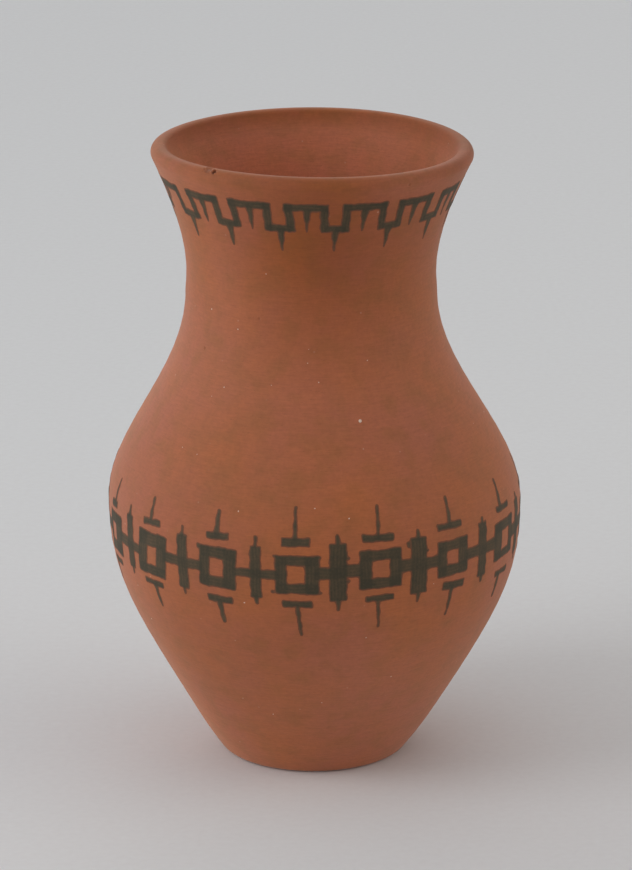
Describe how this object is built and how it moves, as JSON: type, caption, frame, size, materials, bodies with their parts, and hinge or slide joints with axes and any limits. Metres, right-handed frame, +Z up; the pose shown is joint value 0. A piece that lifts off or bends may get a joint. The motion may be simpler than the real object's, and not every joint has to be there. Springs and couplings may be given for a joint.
{
  "type": "clay vessel",
  "caption": "Round-bellied earthenware vessel with a narrow neck, a flared rolled lip and brushed bands of dark slip, for flowers, water or display.",
  "frame": {"origin": "centre of the foot, on the surface that the vessel stands on", "axes": "+Z up along the vessel's axis; the side at -Y is the one seen in the picture"},
  "size_m": [0.1518, 0.1518, 0.23],
  "materials": {
    "earthenware": "matte unglazed terracotta, fine grain with small white lime specks",
    "dark_slip": "matte brushed slip, greenish black, thin at the strokes' edges"
  },
  "bodies": {
    "root": {"clay_body": "earthenware", "rim_meander": "dark_slip", "belly_chain": "dark_slip", "upper_tee_01": "dark_slip", "upper_tee_02": "dark_slip", "upper_tee_03": "dark_slip", "upper_tee_04": "dark_slip", "upper_tee_05": "dark_slip", "upper_tee_06": "dark_slip", "upper_tee_07": "dark_slip", "upper_tee_08": "dark_slip", "upper_tee_09": "dark_slip", "upper_tee_10": "dark_slip", "upper_tee_11": "dark_slip", "upper_tee_12": "dark_slip", "upper_tee_13": "dark_slip", "upper_tee_14": "dark_slip", "upper_tee_15": "dark_slip", "upper_tee_16": "dark_slip", "lower_tee_01": "dark_slip", "lower_tee_02": "dark_slip", "lower_tee_03": "dark_slip", "lower_tee_04": "dark_slip", "lower_tee_05": "dark_slip", "lower_tee_06": "dark_slip", "lower_tee_07": "dark_slip", "lower_tee_08": "dark_slip", "lower_tee_09": "dark_slip", "lower_tee_10": "dark_slip", "lower_tee_11": "dark_slip", "lower_tee_12": "dark_slip", "lower_tee_13": "dark_slip", "lower_tee_14": "dark_slip", "lower_tee_15": "dark_slip", "lower_tee_16": "dark_slip"}
  },
  "joints": []
}
